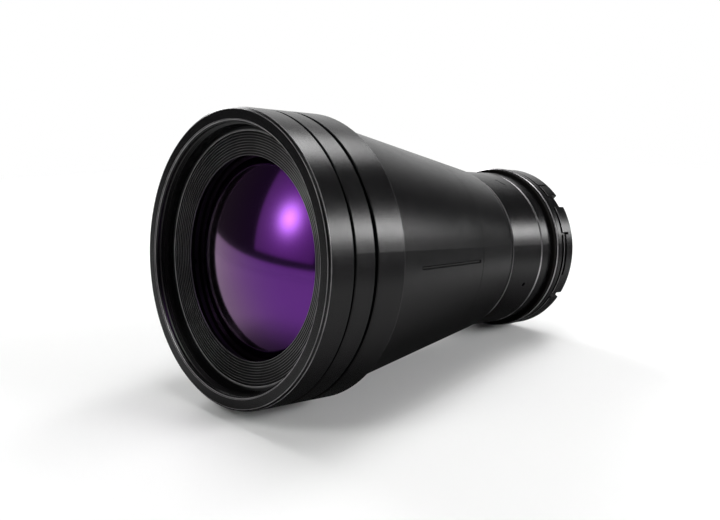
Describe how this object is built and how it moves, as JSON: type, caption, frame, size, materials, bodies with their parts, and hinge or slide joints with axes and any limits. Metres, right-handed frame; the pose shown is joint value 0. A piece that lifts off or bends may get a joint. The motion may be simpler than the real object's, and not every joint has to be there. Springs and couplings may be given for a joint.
{
  "type": "long-wave infrared lens",
  "caption": "Black conical infrared objective with a purple-coated germanium front element, stepped baffle and rear bayonet ring.",
  "frame": {"origin": "centre of the rear face of the bayonet ring, on the optical axis, at the base of the standing lens", "axes": "+Z along the optical axis, out of the front; +X towards the side that the picture shows"},
  "size_m": [0.1, 0.1, 0.1521],
  "materials": {
    "anodised": "black anodised, satin, fine turning marks",
    "blackened": "black anodised, matt",
    "rubber": "matt brownish black",
    "steel": "blackened steel screws",
    "front_coating": "polished germanium with a dark purple coating, opaque to the eye",
    "rear_coating": "polished germanium with a dark blue-green coating, opaque to the eye"
  },
  "bodies": {
    "root": {"front_bezel": "anodised", "baffle_ring": "anodised", "front_retainer": "blackened", "front_seal": "rubber", "front_element": "front_coating", "front_cell": "anodised", "cell_seal": "rubber", "front_barrel": "anodised", "first_baffle": "blackened", "second_baffle": "blackened", "seam_seal": "rubber", "rear_barrel": "anodised", "neck_collar": "anodised", "collar_set_screws": "steel", "mount_body": "anodised", "mount_seal": "rubber", "bayonet_ring": "anodised", "bayonet_screws": "steel", "rear_cell": "blackened", "middle_element": "rear_coating", "lens_spacer": "blackened", "rear_element": "rear_coating", "rear_retainer": "blackened", "rear_seal": "rubber", "lock_ring": "blackened"}
  },
  "joints": []
}
